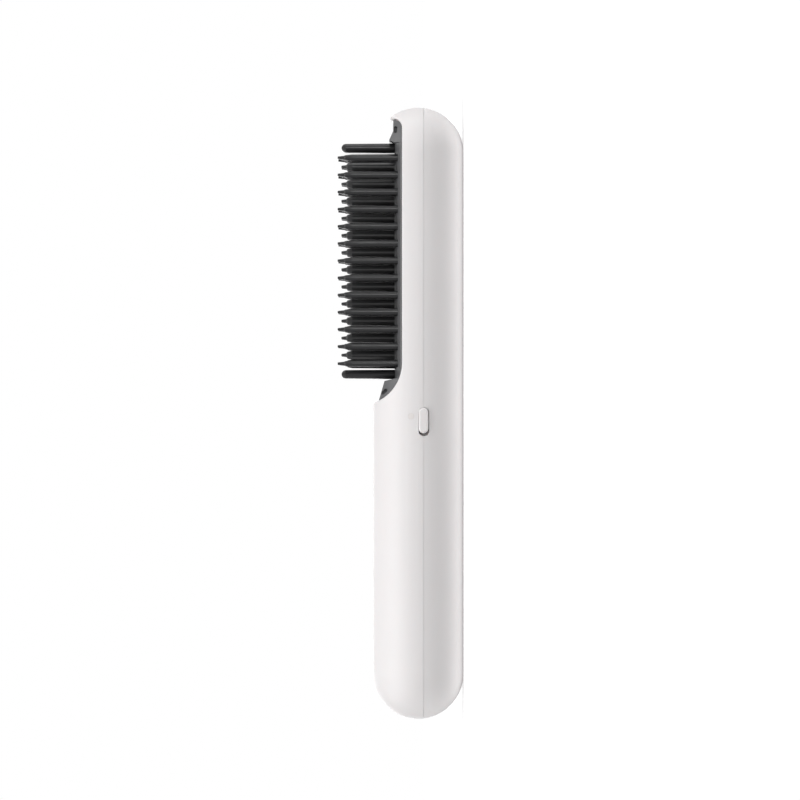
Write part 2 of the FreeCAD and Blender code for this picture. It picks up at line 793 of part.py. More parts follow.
def comb_frame():
    """The grey moulding that fills the bay: a crowned land with a raised horn at each end."""
    block = bay_form("frame_block", "(-dims.fit_gap)", "place.bay_floor")
    blank = shared("frame_blank", casing_form("frame_form", "dims.frame_inset"), block)
    top, far = "2 * place.depth", "dims.wall"
    heel_end = f"place.heel - dims.heel_radius - {far}"
    toe_end = f"place.toe + dims.toe_radius + {far}"
    heel_lip, toe_lip = "place.comb_mid - place.lip_spread", "place.comb_mid + place.lip_spread"
    dish_corners = [
        (heel_end, top),
        (heel_end, "place.bay_floor + dims.heel_lip + dims.heel_rise"),
        (heel_lip, "place.bay_floor + dims.heel_lip"),
        (f"{heel_lip} + dims.lip_slope", "place.frame_top"),
        (f"{toe_lip} - dims.lip_slope", "place.frame_top"),
        (toe_lip, "place.bay_floor + dims.toe_lip"),
        ("place.toe - dims.toe_flat", "place.bay_floor + dims.toe_dip"),
        (toe_end, "place.bay_floor + dims.toe_tip"),
        (toe_end, top),
    ]
    dish = prism("frame_dish", "XZ_Plane", dish_corners, "2 * place.width", both_ways=True)
    land = between(f"{heel_lip} + dims.lip_slope", f"{toe_lip} - dims.lip_slope")
    above = box("above_crown", land, across("2 * place.width"), between("place.bay_floor", top))
    crown_start = (land[0], "0", "place.frame_top - dims.crown_radius")
    crown = rod("crown", "x", crown_start, "dims.crown_radius", land[1])
    plate_pocket = prism(
        "plate_pocket",
        "XY_Plane",
        round_rectangle(
            "(place.plate_length + dims.fit_gap)", "(place.plate_width + dims.fit_gap)", "dims.plate_corner"
        ),
        "place.depth",
        shift="place.plate_bottom",
        along="place.comb_mid",
    )
    window = box(
        "plate_window",
        (
            "place.comb_mid - place.plate_length / 2 + dims.plate_ledge",
            "place.plate_length - 2 * dims.plate_ledge",
        ),
        across("place.plate_width - 2 * dims.plate_ledge"),
        between("0", "place.depth"),
    )
    guard_pocket = tooth_pocket("guard_pocket", "dims.guard_tooth_thickness")
    guard_pockets = copies("guard_pockets", guard_pocket, guard_spots(guard_level))
    foot = prism(
        "end_guard_pocket",
        "XY_Plane",
        slot_outline(
            "(dims.end_guard_breadth + dims.fit_gap)", "(dims.end_guard_thickness + dims.fit_gap)"
        ),
        "dims.frame_thickness",
        angle=90,
    )
    feet = copies("end_guard_pockets", foot, end_guard_spots(end_guard_level))
    shaped = cut("frame_shaped", blank, dish, cut("crown_waste", above, crown))
    holed = cut("frame_holed", shaped, plate_pocket, window)
    return keep(cut("comb_frame", cut("frame_pocketed", holed, guard_pockets), feet, *frame_catches()))


def frame_catches():
    """The small slanted catch holes in both sides of each horn, where the casing's hooks hold the frame."""
    corners = slot_outline("dims.catch_length", "dims.catch_width")
    heel_at = ("place.heel - 0.68 * dims.heel_radius", "place.bay_floor + dims.heel_lip")
    toe_up = "place.bay_floor + dims.toe_dip - dims.catch_drop"
    toe_at = ("place.toe - dims.toe_flat / 2", toe_up)
    reach = {"heel": "place.width / 2 - 5.3", "toe": "place.width / 2 - 5.2"}
    holes = []
    for end, (along, up), angle in (("heel", heel_at, -47), ("toe", toe_at, -5)):
        for side, sign in SIDES.items():
            start = f"{reach[end]} - dims.catch_depth"
            shift = start if sign < 0 else f"-({start}) - place.depth"
            spot = {"shift": shift, "along": along, "up": up, "angle": angle}
            holes.append(prism(f"{end}_catch_{side}", "XZ_Plane", corners, "place.depth", **spot))
    return holes


# Heater under the comb


def stud_spots(level):
    """The two studs under the heating plate that hold the clamp."""
    return [(f"place.comb_mid + {sign} * place.stud_spread", "0", level) for sign in SIDES.values()]


def heating_plate():
    """The metal plate that carries the heated teeth, with two threaded studs underneath."""
    plate = prism(
        "plate_blank",
        "XY_Plane",
        round_rectangle("place.plate_length", "place.plate_width", "dims.plate_corner"),
        "dims.plate_thickness",
        shift="place.plate_bottom",
        along="place.comb_mid",
    )
    level = "place.plate_bottom - dims.stud_height"
    foot = ("0", "0", "0")
    stud = rod("stud", "z", foot, "dims.stud_radius", "dims.stud_height + dims.plate_thickness / 2")
    thread = rod("stud_thread", "z", foot, "dims.screw_radius", "dims.clamp_screw_length")
    studs = copies("studs", stud, stud_spots(level))
    threads = copies("stud_threads", thread, stud_spots(level))
    blank = cut("plate_with_studs", join("plate_solid", plate, studs), threads)
    pockets = copies("heating_pockets", pocket, heating_spots(heating_level))
    return keep(cut("heating_plate", blank, pockets))


def heater():
    """The ceramic heater, its mica sheet, the clamp and its screws, the sensor, the fuse and the shield."""
    heater_x = ("place.comb_mid - place.heater_half", "2 * place.heater_half")
    heater_z = between("place.plate_bottom - dims.heater_thickness", "place.plate_bottom")
    keep(box("heater_element", heater_x, across("dims.heater_width"), heater_z))
    mica_z = ("place.mica_bottom", "dims.mica_thickness")
    keep(box("mica_sheet", heater_x, across("dims.heater_width"), mica_z))
    bar_x = ("place.comb_mid - place.clamp_half", "2 * place.clamp_half")
    bar_z = ("place.clamp_bottom", "dims.clamp_thickness")
    bar = box("clamp_bar", bar_x, across("dims.clamp_width"), bar_z)
    bore = "dims.screw_radius + dims.screw_clearance"
    hole = rod("clamp_hole", "z", ("0", "0", "0"), bore, "dims.clamp_thickness")
    holes = copies("clamp_holes", hole, stud_spots("place.clamp_bottom"))
    keep(cut("heater_clamp", bar, holes))
    screw = screw_form("clamp_screw", "dims.clamp_screw_length")
    keep(copies("clamp_screws", screw, stud_spots("place.clamp_bottom"), UPSIDE_DOWN))
    sensor_y = ("dims.heater_width / 2 + dims.screw_clearance", "dims.sensor_width")
    sensor_z = ("place.plate_bottom - dims.sensor_height", "dims.sensor_height")
    keep(box("thermistor", ("place.heater_sensor_x", "dims.sensor_length"), sensor_y, sensor_z))
    fuse_start = (
        "place.comb_mid - dims.fuse_length / 2",
        "-(dims.heater_width / 2 + dims.screw_clearance + dims.fuse_radius)",
        "place.plate_bottom - dims.fuse_radius",
    )
    keep(rod("thermal_fuse", "x", fuse_start, "dims.fuse_radius", "dims.fuse_length"))
    tray_x = between("place.comb_mid - place.shield_spread", "place.comb_mid + place.shield_spread")
    tray_z = ("place.shield_bottom", "dims.shield_depth")
    tray = box("shield_tray", tray_x, across("2 * place.shield_half"), tray_z)
    room = box(
        "shield_room",
        (f"{tray_x[0]} - dims.shield_wall", tray_x[1]),
        across("2 * (place.shield_half - dims.shield_wall)"),
        ("place.shield_bottom + dims.shield_wall", "dims.shield_depth"),
    )
    return keep(cut("heat_shield", tray, room))


# Screws


def screw_form(name, length):
    """A pan-head screw with its seat on the origin and its shank pointing down."""
    shank, head = "dims.screw_radius", "dims.screw_head_radius"
    corners = [
        ("0", f"-{length}"),
        (shank, f"-{length}"),
        (shank, "0"),
        (head, "0"),
        (head, "dims.screw_head_height"),
        ("0", "dims.screw_head_height"),
    ]
    return turned(name, corners)


frame_screw_spots = [
    "place.board_start + dims.frame_screw_inset",
    "place.board_end - dims.frame_screw_inset",
]
board_screw_spots = [
    (x, f"{sign} * place.standoff_y")
    for x in ("place.board_start + dims.board_screw_inset", "place.board_end - dims.board_screw_inset")
    for sign in SIDES.values()
]


def screws():
    """The screws that hold the casing, the inner frame and the main board."""
    shell_screw = screw_form("shell_screw", "dims.shell_screw_length")
    shell_spots = [(x, y, "place.shell_screw_seat") for x, y in shell_screw_spots]
    keep(copies("shell_screws", shell_screw, shell_spots))
    frame_screw = screw_form("frame_screw", "dims.frame_screw_length")
    keep(copies("frame_screws", frame_screw, [(x, "0", "place.deck_top") for x in frame_screw_spots]))
    board_screw = screw_form("board_screw", "dims.board_screw_length")
    keep(copies("board_screws", board_screw, [(x, y, "place.board_top") for x, y in board_screw_spots]))


# Inner frame, battery and boards


def inner_frame():
    """The carrier in the handle: a battery trough, a deck under the main board and a shelf at the tail."""
    axis_y, axis_z = "0", "place.half_depth"
    radius = "dims.battery_diameter / 2"
    cradle_length = "place.cradle_end - place.cradle_start"
    outside_radius = f"{radius} + dims.cradle_wall"
    outside_at = ("place.cradle_start", axis_y, axis_z)
    outside = rod("cradle_outside", "x", outside_at, outside_radius, cradle_length)
    inside = rod(
        "cradle_inside",
        "x",
        ("place.battery_start - dims.contact_thickness", axis_y, axis_z),
        f"{radius} + dims.fit_gap",
        "dims.battery_length + 2 * dims.contact_thickness",
    )
    upper = layer("above_cradle", "place.half_depth", "2 * place.depth")
    trough = cut("cradle_trough", outside, inside, upper)
    pieces = [trough]
    for index, x in enumerate(
        (
            "place.battery_start + dims.foot_inset",
            "place.battery_end - dims.foot_inset - dims.foot_length",
        )
    ):
        foot_x = (x, "dims.foot_length")
        foot_z = ("dims.wall", "dims.cradle_gap + dims.cradle_wall / 2")
        pieces.append(box(f"cradle_foot_{index}", foot_x, across("dims.foot_width"), foot_z))
    deck_x = between("place.cradle_end - dims.cradle_end_wall", "place.board_end")
    deck_y = across("2 * place.standoff_y + 2 * dims.standoff_radius")
    pieces.append(box("deck", deck_x, deck_y, ("place.deck_bottom", "dims.deck_thickness")))
    shelf_x = between("place.tail + dims.charge_board_inset", "place.cradle_start + dims.cradle_end_wall")
    shelf_z = ("place.charge_board_bottom - dims.shelf_thickness", "dims.shelf_thickness")
    pieces.append(box("shelf", shelf_x, across("dims.charge_board_width"), shelf_z))
    height = "dims.deck_thickness + dims.standoff_height"
    holes = []
    for index, (x, y) in enumerate(board_screw_spots):
        start = (x, y, "place.deck_bottom")
        pieces.append(rod(f"standoff_{index}", "z", start, "dims.standoff_radius", height))
        holes.append(rod(f"standoff_pilot_{index}", "z", start, "dims.screw_radius", height))
    for index, x in enumerate(frame_screw_spots):
        bore = "dims.screw_radius + dims.screw_clearance"
        start = (x, "0", "place.deck_bottom")
        holes.append(rod(f"deck_bore_{index}", "z", start, bore, "dims.deck_thickness"))
    return keep(cut("inner_frame", join("inner_frame_solid", *pieces), *holes))


def battery():
    """The round cell, a contact strip at each end and the foam pad above it."""
    radius = "dims.battery_diameter / 2"
    cell_at = ("place.battery_start", "0", "place.half_depth")
    keep(rod("battery_cell", "x", cell_at, radius, "dims.battery_length"))
    contact_z = ("place.half_depth - dims.contact_height / 2", "dims.contact_height")
    for name, start in (
        ("battery_contact_rear", "place.battery_start - dims.contact_thickness"),
        ("battery_contact_front", "place.battery_end"),
    ):
        keep(box(name, (start, "dims.contact_thickness"), across("dims.contact_width"), contact_z))
    pad_x = between("place.battery_start + dims.pad_inset", "place.battery_end - dims.pad_inset")
    pad_z = between(f"place.half_depth + {radius} + dims.pad_clearance", "place.depth - dims.wall")
    keep(box("battery_pad", pad_x, across("dims.pad_width"), pad_z))


def main_board():
    """The control board on the inner frame's standoffs."""
    board_z = ("place.board_bottom", "dims.board_thickness")
    board_x = ("place.board_start", "dims.board_length")
    blank = box("board_blank", board_x, across("2 * place.board_half"), board_z)
    bore = "dims.screw_radius + dims.screw_clearance"
    holes = [
        rod(f"board_hole_{index}", "z", (x, y, "place.board_bottom"), bore, "dims.board_thickness")
        for index, (x, y) in enumerate(board_screw_spots)
    ]
    return keep(cut("main_board", blank, *holes))


def on_board(name, x, y, length, width, height):
    """A block that stands on the main board, with its corner at x and y."""
    return box(name, (x, length), (y, width), ("place.board_top", height))


def board_parts():
    """The chip, transistors, inductor, capacitors, connectors and indicator light on the main board."""
    chip_x, size = "place.chip_x", "dims.chip_size"
    keep(on_board("control_chip", chip_x, "-dims.chip_size / 2", size, size, "dims.chip_height"))
    transistor = on_board(
        "transistor", "0", "0", "dims.transistor_length", "dims.transistor_width", "dims.transistor_height"
    )
    beside_chip = "dims.chip_size / 2 + dims.part_spacing"
    second_x = f"{chip_x} + dims.transistor_length + dims.part_spacing"
    transistor_spots = [(x, beside_chip, "place.board_top") for x in (chip_x, second_x)]
    keep(copies("power_transistors", transistor, transistor_spots))
    inductor_x, size = f"{chip_x} + dims.chip_size + dims.part_spacing", "dims.inductor_size"
    keep(on_board("inductor", inductor_x, "-dims.inductor_size / 2", size, size, "dims.inductor_height"))
    can_at = (
        f"{inductor_x} + dims.capacitor_radius",
        "-dims.inductor_size / 2 - dims.capacitor_radius - 2 * dims.fit_gap",
        "place.board_top",
    )
    keep(rod("capacitor_can", "z", can_at, "dims.capacitor_radius", "dims.capacitor_height"))
    length, width, height = "dims.connector_length", "dims.connector_width", "dims.connector_height"
    keep(on_board("battery_connector", "place.plug_row", "dims.part_spacing / 2", length, width, height))
    other_y = "-dims.part_spacing / 2 - dims.connector_width"
    keep(on_board("charge_connector", "place.plug_row", other_y, length, width, height))
    led_x, led_y = "place.light_x - dims.led_length / 2", "-place.light_y - dims.led_length / 2"
    keep(on_board("status_led", led_x, led_y, "dims.led_length", "dims.led_length", "dims.led_height"))


# Button, switch and indicator


def power_button():
    """The push button: a cap in the casing's side, a flange that keeps it in and a stem to the switch."""
    body = doc.addObject("PartDesign::Body", "power_button")
    spot = {"along": "place.button_x", "up": "place.seam"}
    flange_at = "place.flange_y - dims.flange_thickness"
    flange = sketch_on(body, "button_flange", "XZ_Plane", shift=flange_at, **spot)
    outline(flange, slot_outline("(dims.button_length + 2 * dims.flange_margin)", "place.flange_height"))
    pad(body, flange, "dims.flange_thickness")
    cap = sketch_on(body, "button_cap", "XZ_Plane", shift="place.flange_y", **spot)
    outline(cap, slot_outline("dims.button_length", "dims.button_width"))
    pad(body, cap, "place.side + dims.button_proud - place.flange_y")
    stem = sketch_on(body, "button_stem", "XZ_Plane", shift="place.stem_y", **spot)
    outline(stem, slot_outline("dims.button_length / 2", "2 * dims.plunger_radius"))
    pad(body, stem, "dims.stem_length")
    doc.recompute()
    sharp = body.Tip
    outermost = sharp.Shape.BoundBox.YMin
    rim = [
        f"Edge{index}"
        for index, edge in enumerate(sharp.Shape.Edges, start=1)
        if abs(edge.BoundBox.YMax - outermost) < number("dims.stem_gap")
    ]
    rounded = body.newObject("PartDesign::Fillet", "button_edge")
    rounded.Base = (sharp, rim)
    rounded.setExpression("Radius", "dims.button_round")
    return keep(body)


def switch():
    """The side-push switch on the board's edge and its plunger."""
    start_x = "place.button_x - dims.switch_length / 2"
    block = on_board(
        "switch_block",
        start_x,
        "-place.board_half",
        "dims.switch_length",
        "dims.switch_depth",
        "dims.switch_height",
    )
    bore = rod(
        "switch_bore",
        "y",
        ("place.button_x", "-place.board_half", "place.seam"),
        "dims.plunger_radius + dims.slide_gap / 2",
        "dims.plunger_bore",
    )
    keep(cut("tact_switch", block, bore))
    tip = ("place.button_x", "-place.plunger_y", "place.seam")
    keep(rod("switch_plunger", "y", tip, "dims.plunger_radius", "dims.plunger_reach + dims.plunger_sink"))


def light_guide():
    """The clear guide from the status light up to a flush window beside the button."""
    start = ("place.light_x", "-place.width", "place.light_z")
    beam = rod("light_beam", "y", start, "dims.light_radius", "place.width - place.light_y")
    foot = "place.board_top + dims.led_height + dims.stem_gap"
    leg_start = ("place.light_x", "-place.light_y", foot)
    leg_height = f"place.light_z + dims.light_radius - ({foot})"
    leg = rod("light_leg", "z", leg_start, "dims.light_radius", leg_height)
    return keep(shared("light_guide", join("light_pipe", beam, leg), casing))


# Charging socket


def charging_socket():
    """The metal socket at the tail, its tongue and its small board."""
    width, height = "dims.socket_width", "dims.socket_height"
    inner_width = "(dims.socket_width - 2 * dims.socket_wall)"
    inner_height = "(dims.socket_height - 2 * dims.socket_wall)"
    spot = {"shift": "place.socket_start", "up": "place.seam"}
    outside = prism("socket_outside", "YZ_Plane", slot_outline(width, height), "dims.socket_length", **spot)
    inner_length = "dims.socket_length - dims.socket_wall"
    inner = slot_outline(inner_width, inner_height)
    inside = prism("socket_inside", "YZ_Plane", inner, inner_length, **spot)
    keep(cut("charge_socket", outside, inside))
    base_x = "place.socket_start + dims.socket_length - dims.socket_wall - dims.tongue_base"
    base = prism(
        "tongue_base",
        "YZ_Plane",
        slot_outline(inner_width, inner_height),
        "dims.tongue_base",
        shift=base_x,
        up="place.seam",
    )
    blade = box(
        "tongue_blade",
        (f"{base_x} - dims.tongue_length", "dims.tongue_length + dims.tongue_base / 2"),
        across("dims.tongue_width"),
        ("place.seam - dims.tongue_thickness / 2", "dims.tongue_thickness"),
    )
    keep(join("socket_tongue", base, blade))
    board_x = between("place.tail + dims.charge_board_inset", "place.cradle_start")
    board_z = ("place.charge_board_bottom", "dims.charge_board_thickness")
    keep(box("charge_board", board_x, across("dims.charge_board_width"), board_z))


# Leads


def lead(points, radius):
    """A round lead along straight runs, with a tangent arc at each corner."""
    spots = [FreeCAD.Vector(*(number(item) for item in point)) for point in points]
    edges, start = [], spots[0]
    for before, corner, after in zip(spots, spots[1:], spots[2:]):
        back, ahead = (before - corner), (after - corner)
        half_turn = (math.pi - back.getAngle(ahead)) / 2
        room = 0.45 * min(back.Length, ahead.Length)
        reach = min(room, number("dims.lead_bend") * math.tan(half_turn))
        enter, leave = corner + back.normalize() * reach, corner + ahead.normalize() * reach
        bulge = (enter + leave) * 0.5 - corner
        inner_radius = reach / math.tan(half_turn)
        middle = corner + bulge.normalize() * (inner_radius / math.cos(half_turn) - inner_radius)
        edges += [Part.LineSegment(start, enter).toShape(), Part.Arc(enter, middle, leave).toShape()]
        start = leave
    edges.append(Part.LineSegment(start, spots[-1]).toShape())
    path = Part.Wire(edges)
    circle = Part.Circle(spots[0], spots[1] - spots[0], number(radius))
    return path.makePipeShell([Part.Wire([circle.toShape()])], True, True)


def lead_group(name, routes, radius):
    """A node of leads that run side by side."""
    item = doc.addObject("Part::Feature", name)
    item.Shape = Part.makeCompound([lead(route, radius) for route in routes])
    return keep(item)


def leads():
    """Leads of the battery, the charging board, the heater and the sensor."""
    plug_x = "place.plug_row + dims.connector_length / 2"
    plug_top = "place.board_top + dims.connector_height"
    tag_z = "place.half_depth + dims.contact_height / 2 - dims.lead_radius"
    near, far = "dims.connector_width / 4", "3 * dims.connector_width / 4"
    front_tag = "place.battery_end + dims.contact_thickness"
    rear_tag = "place.battery_start - dims.contact_thickness"
    clear_x = f"{rear_tag} - dims.cradle_end_wall - 2 * dims.lead_radius"
    side, level = "place.lead_side", "place.lead_level"
    positive = [(front_tag, near, tag_z), (plug_x, near, tag_z), (plug_x, near, plug_top)]
    negative = [
        (rear_tag, near, tag_z),
        (clear_x, near, tag_z),
        (clear_x, side, level),
        (plug_x, side, level),
        (plug_x, far, level),
        (plug_x, far, plug_top),
    ]
    lead_group("battery_leads", [positive, negative], "dims.lead_radius")
    charge_top = "place.charge_board_bottom + dims.charge_board_thickness"
    charge = []
    for index, share in enumerate((near, far)):
        height = f"{level} + {index} * 3 * dims.lead_radius"
        board_x = f"place.cradle_start - (1.5 + {2 * index}) * dims.lead_radius"
        charge.append(
            [
                (board_x, f"-dims.charge_board_width / 4 - {index} * dims.lead_radius", charge_top),
                (board_x, f"-dims.charge_board_width / 4 - {index} * dims.lead_radius", height),
                (f"{board_x} + dims.lead_bend", f"-{side}", height),
                (f"{plug_x} - 2 * dims.lead_bend", f"-{side}", height),
                (plug_x, f"-{share}", height),
                (plug_x, f"-{share}", plug_top),
            ]
        )
    lead_group("charge_leads", charge, "dims.lead_radius")
    heater_y = "dims.heater_width / 2 + 2 * dims.lead_radius"
    board_x = "place.board_end - dims.lead_radius"
    rise_x = "place.comb_mid - place.clamp_half + 3 * dims.lead_radius"
    heater_end = "place.comb_mid - place.heater_half + 3 * dims.lead_radius"
    heater_z = "place.plate_bottom - dims.heater_thickness / 2"
    low = "place.shield_bottom + dims.shield_wall + 3 * dims.lead_radius"
    heater_routes = [
        [
            (board_x, f"{sign} * ({heater_y})", "place.board_top"),
            (board_x, f"{sign} * ({heater_y})", low),
            (rise_x, f"{sign} * ({heater_y})", low),
            (f"{rise_x} + 2 * dims.lead_radius", f"{sign} * ({heater_y})", heater_z),
            (heater_end, f"{sign} * ({heater_y})", heater_z),
            (heater_end, f"{sign} * dims.heater_width / 2", heater_z),
        ]
        for sign in SIDES.values()
    ]
    lead_group("heater_leads", heater_routes, "dims.lead_radius")
    sensor_routes = []
    for index in range(2):
        sensor_y = "dims.heater_width / 2 + dims.screw_clearance"
        start_y = f"{sensor_y} + (0.25 + 0.5 * {index}) * dims.sensor_width"
        away_x = f"place.heater_sensor_x - (4 - 2 * {index}) * dims.lead_radius"
        run_y = f"{heater_y} + (4 - 1.5 * {index}) * dims.lead_radius"
        down_x = "place.board_end - 2 * dims.board_screw_inset"
        sensor_routes.append(
            [
                ("place.heater_sensor_x", start_y, heater_z),
                (away_x, start_y, heater_z),
                (away_x, run_y, low),
                (down_x, run_y, low),
                (down_x, run_y, "place.board_top"),
            ]
        )
    lead_group("sensor_leads", sensor_routes, "dims.sensor_lead_radius")


front_shell()
rear_shell()
teeth()
comb_frame()
heating_plate()
heater()
screws()
inner_frame()
battery()
main_board()
board_parts()
power_button()
switch()
light_guide()
charging_socket()
leads()
doc.recompute()

# Every object has to be sound before anything is written
for item in doc.Objects:
    if "Invalid" in item.State or "Error" in item.State:
        raise RuntimeError(f"{item.Name} failed: {item.State}")
for item in nodes:
    if item.Shape.isNull() or not item.Shape.isValid() or not item.Shape.Solids:
        raise RuntimeError(f"{item.Label} has no sound shape")

os.makedirs("parts", exist_ok=True)
for item in nodes:
    item.Shape.exportStep(os.path.join("parts", f"{item.Label}.step"))
    print(item.Label, len(item.Shape.Solids), round(item.Shape.Volume, 2))
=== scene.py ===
# %% [markdown]
# # A cordless hair straightener, dressed in Blender
# The solids come from a CAD model and stay where they are: their seams, draft and rounded edges are
# already right. This lesson gives each of them the finish of the real object, then sets up a floor,
# the lamps and the camera. The object lies on its flat back with the teeth up. X runs towards the
# comb, and the button is on the side that faces -Y.

import bmesh
import bpy
from mathutils import Matrix, Vector

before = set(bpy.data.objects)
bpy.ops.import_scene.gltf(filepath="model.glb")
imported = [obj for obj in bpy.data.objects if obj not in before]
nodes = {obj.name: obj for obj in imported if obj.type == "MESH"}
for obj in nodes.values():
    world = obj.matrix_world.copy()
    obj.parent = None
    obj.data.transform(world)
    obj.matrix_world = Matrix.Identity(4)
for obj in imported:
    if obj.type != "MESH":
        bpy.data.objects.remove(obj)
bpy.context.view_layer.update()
MM = 0.001

# %% [markdown]
# ## One recipe for plastic, paint and metal
# Plastic, paint and plain metal differ in colour, gloss and grain, but the way they vary is the same.
# A picture of a surface could be wrapped round each piece, but that needs a file and a layout for
# every shape. Here three noises do it: a broad one shifts the colour a little, a second one shifts
# the gloss, and a fine one is the grain that the mould or the tool leaves. All three read Object
# coordinates, so they stay on the piece when it moves.

# %% The finish recipe
MIDDLE_OF_NOISE = (0.3, 0.7)  # most of a noise texture lies between these values
GRAIN_SIZE = 0.25 * MM
GRAIN_DETAIL = 3.0
GLOSS_SPOTS = 1 / 3  # of the size of the colour's blotches


def noise(tree, coordinates, size, detail=2.0):
    """A noise texture whose blobs are about that many metres wide."""
    node = tree.nodes.new("ShaderNodeTexNoise")
    node.inputs["Scale"].default_value = 1.0 / size
    node.inputs["Detail"].default_value = detail
    tree.links.new(coordinates, node.inputs["Vector"])
    return node.outputs["Fac"]


def map_range(tree, source, old, new):
    """Maps one range of values onto another."""
    node = tree.nodes.new("ShaderNodeMapRange")
    for name, value in zip(("From Min", "From Max", "To Min", "To Max"), (*old, *new)):
        node.inputs[name].default_value = value
    tree.links.new(source, node.inputs["Value"])
    return node.outputs["Result"]


def finish(name, colour, roughness, *, shift=0.06, blotch=12 * MM, gloss=0.05, grain=0.03):
    """A Principled material: colour and roughness with some variation, and a fine grain as bump."""
    material = bpy.data.materials.new(name)
    material.use_nodes = True
    tree = material.node_tree
    shader = tree.nodes["Principled BSDF"]
    place = tree.nodes.new("ShaderNodeTexCoord").outputs["Object"]
    blend = tree.nodes.new("ShaderNodeMix")
    blend.data_type = "RGBA"
    for socket, side in (("A", -1), ("B", 1)):
        shade = [channel * (1 + side * shift) for channel in colour]
        blend.inputs[socket].default_value = (*shade, 1.0)
    share = map_range(tree, noise(tree, place, blotch), MIDDLE_OF_NOISE, (0.0, 1.0))
    tree.links.new(share, blend.inputs["Factor"])
    tree.links.new(blend.outputs["Result"], shader.inputs["Base Color"])
    dull = (roughness - gloss, roughness + gloss)
    rough = map_range(tree, noise(tree, place, blotch * GLOSS_SPOTS), MIDDLE_OF_NOISE, dull)
    tree.links.new(rough, shader.inputs["Roughness"])
    bump = tree.nodes.new("ShaderNodeBump")
    bump.inputs["Strength"].default_value = grain
    bump.inputs["Distance"].default_value = GRAIN_SIZE
    tree.links.new(noise(tree, place, GRAIN_SIZE, GRAIN_DETAIL), bump.inputs["Height"])
    tree.links.new(bump.outputs["Normal"], shader.inputs["Normal"])
    return material, shader


def wear(material, *names):
    """Gives CAD nodes a material."""
    for name in names:
        mesh = nodes[name].data
        mesh.materials.clear()
        mesh.materials.append(material)
        for face in mesh.polygons:
            face.material_index = 0
    print(material.name, "on", ", ".join(names))


print("Recipe: noise, map_range, finish, wear")

# %% [markdown]
# ## The white casing
# Both halves of the casing and the button are moulded in one satin white plastic. It is a little
# warm, almost even in colour, and its gloss is low, so the light rolls off the long sides softly.
# Plain white paint would look chalky. A small share of subsurface scattering lets light into the
# plastic and softens the seam and the rim of the bay, as it does in a thin moulded wall.

# %% Casing and button
casing, casing_shader = finish("satin_white_casing", (0.83, 0.805, 0.805), 0.5, shift=0.012, blotch=40 * MM)
casing_shader.inputs["Subsurface Weight"].default_value = 0.05
casing_shader.inputs["Subsurface Radius"].default_value = (1.0, 0.6, 0.5)
casing_shader.inputs["Subsurface Scale"].default_value = 1.5 * MM
wear(casing, "front_shell", "rear_shell", "power_button")

# %% [markdown]
# ## The small light window
# Beside the button is a dot that can hardly be seen while the light behind it is off. It could be
# glass, but a clear window would show the dark inside. A milky one hides it, so this is a smooth
# plastic a touch darker than the casing, and the lamp on the board behind it is the same.

# %% Light window
milky, _ = finish("milky_light_guide", (0.79, 0.755, 0.74), 0.36)
wear(milky, "light_guide", "status_led")

# %% [markdown]
# ## The comb
# The frame in the head is a mid grey plastic with a fine texture. The guard teeth are charcoal, and
# the heated teeth are taken to have a dark ceramic coat. The teeth could be plain black, but then
# their round sides would not show. What the eye sees on a dark tooth is mostly gloss: the specular
# level is turned down until its sides stay dark, and a small lamp draws a narrow bright line later.

# %% Comb frame and teeth
frame_grey, _ = finish("grey_comb_frame", (0.085, 0.085, 0.088), 0.45)
wear(frame_grey, "comb_frame")
guard_charcoal, guard_shader = finish("charcoal_guard_teeth", (0.016, 0.016, 0.017), 0.33)
guard_shader.inputs["Specular IOR Level"].default_value = 0.28
wear(guard_charcoal, "guard_teeth", "end_guards")
heated_coat, heated_shader = finish("dark_heated_coat", (0.02, 0.02, 0.021), 0.33)
heated_shader.inputs["Specular IOR Level"].default_value = 0.4
wear(heated_coat, "heating_teeth", "heating_plate")

# %% [markdown]
# ## Metal pieces inside
# Screws, contacts, the clamp and the socket's shell are plain steel. The heat shield, the thermal
# fuse and the capacitor can are aluminium, which is paler and softer in its shine. Metal needs only
# its colour and its roughness, with Metallic at 1 on the shader.

# %% Steel and aluminium
SCREWS = ("shell_screws", "clamp_screws", "frame_screws", "board_screws")
SHEET_STEEL = ("heater_clamp", "battery_contact_rear", "battery_contact_front", "charge_socket")
METALS = {
    "plain_steel": ((0.55, 0.55, 0.56), 0.3, SCREWS + SHEET_STEEL),
    "rolled_aluminium": ((0.72, 0.72, 0.73), 0.35, ("heat_shield", "thermal_fuse", "capacitor_can")),
}
for name, (colour, roughness, worn_by) in METALS.items():
    metal, metal_shader = finish(name, colour, roughness, grain=0.02)
    metal_shader.inputs["Metallic"].default_value = 1.0
    wear(metal, *worn_by)

# %% [markdown]
# ## Heater, battery, board and wiring
# Nobody sees these pieces until the casing is opened, but then each should read at a glance: white
# ceramic, flaky mica, a cell in its film, a green board with black packages, and leads in the
# colours that a wiring diagram would give them. One table of finishes keeps them easy to compare.

